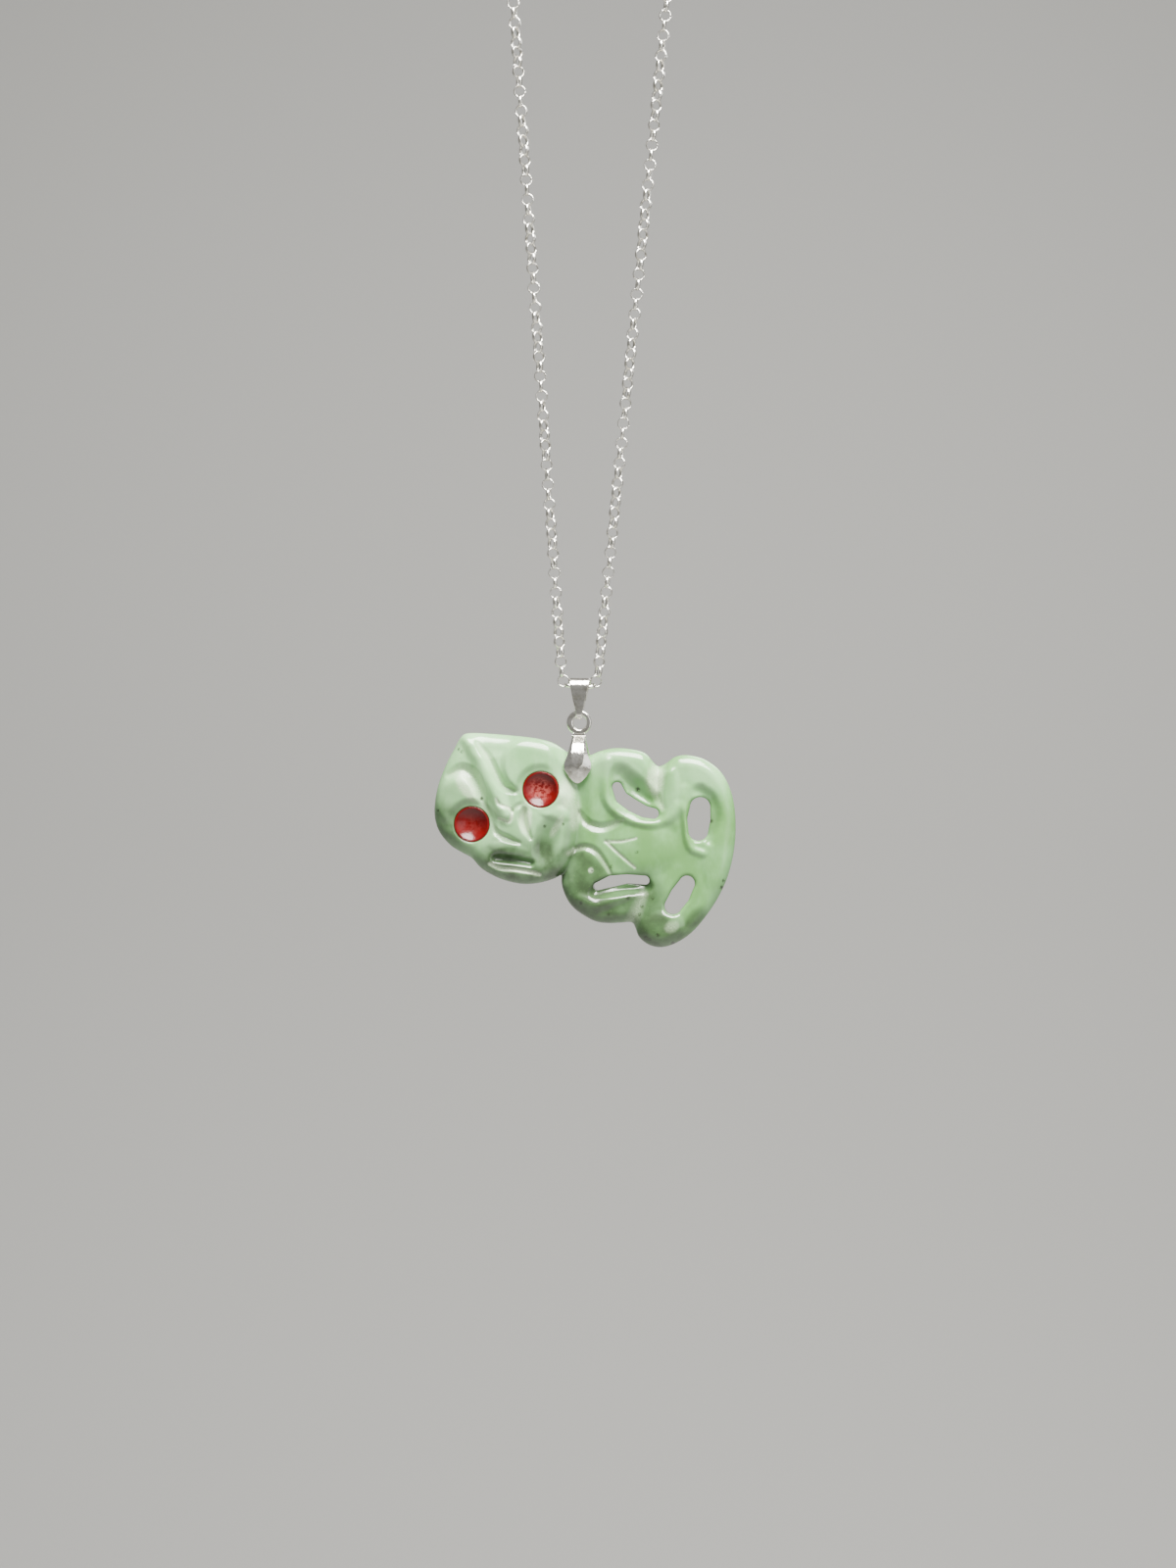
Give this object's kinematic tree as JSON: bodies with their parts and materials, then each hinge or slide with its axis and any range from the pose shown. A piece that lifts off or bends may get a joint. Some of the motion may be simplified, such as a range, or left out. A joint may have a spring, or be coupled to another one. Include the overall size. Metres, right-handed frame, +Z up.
{
  "type": "hei tiki pendant necklace",
  "caption": "Pierced jade hei tiki with red inlaid eyes, hung sideways from a pinch bail and a strip bail on a rolo chain loop.",
  "frame": {"origin": "hang point at the middle of the chain's top run, in the centre of the clasp's ring", "axes": "+Z up, with everything hanging below; -Y is the front of the figure, and its head lies towards -X"},
  "size_m": [0.0481, 0.0084, 0.2515],
  "materials": {
    "jade": "polished pale green jade with frosted grooves",
    "red_inlay": "glossy deep red, worn in the hollow",
    "silver": "bright polished silver"
  },
  "bodies": {
    "necklace": {"chain": "silver", "clasp": "silver", "jump_ring_right": "silver", "jump_ring_left": "silver"},
    "bail": {"chain_bail": "silver"},
    "clip": {"pinch_bail": "silver"},
    "figure": {"tiki": "jade", "eye_right": "red_inlay", "eye_left": "red_inlay"}
  },
  "joints": [
    {"name": "bail_swing", "type": "hinge", "parent": "necklace", "child": "bail", "pos_m": [0, 0, -0.20722], "axis": [1, 0, 0], "range_deg": [-70, 70]},
    {"name": "drop_swing", "type": "hinge", "parent": "bail", "child": "clip", "pos_m": [0.00015, 0, -0.21294], "axis": [0, 1, 0], "range_deg": [-45, 45]},
    {"name": "figure_swing", "type": "hinge", "parent": "clip", "child": "figure", "pos_m": [0, 0, -0.2205], "axis": [0, 1, 0], "range_deg": [-10, 10]}
  ]
}
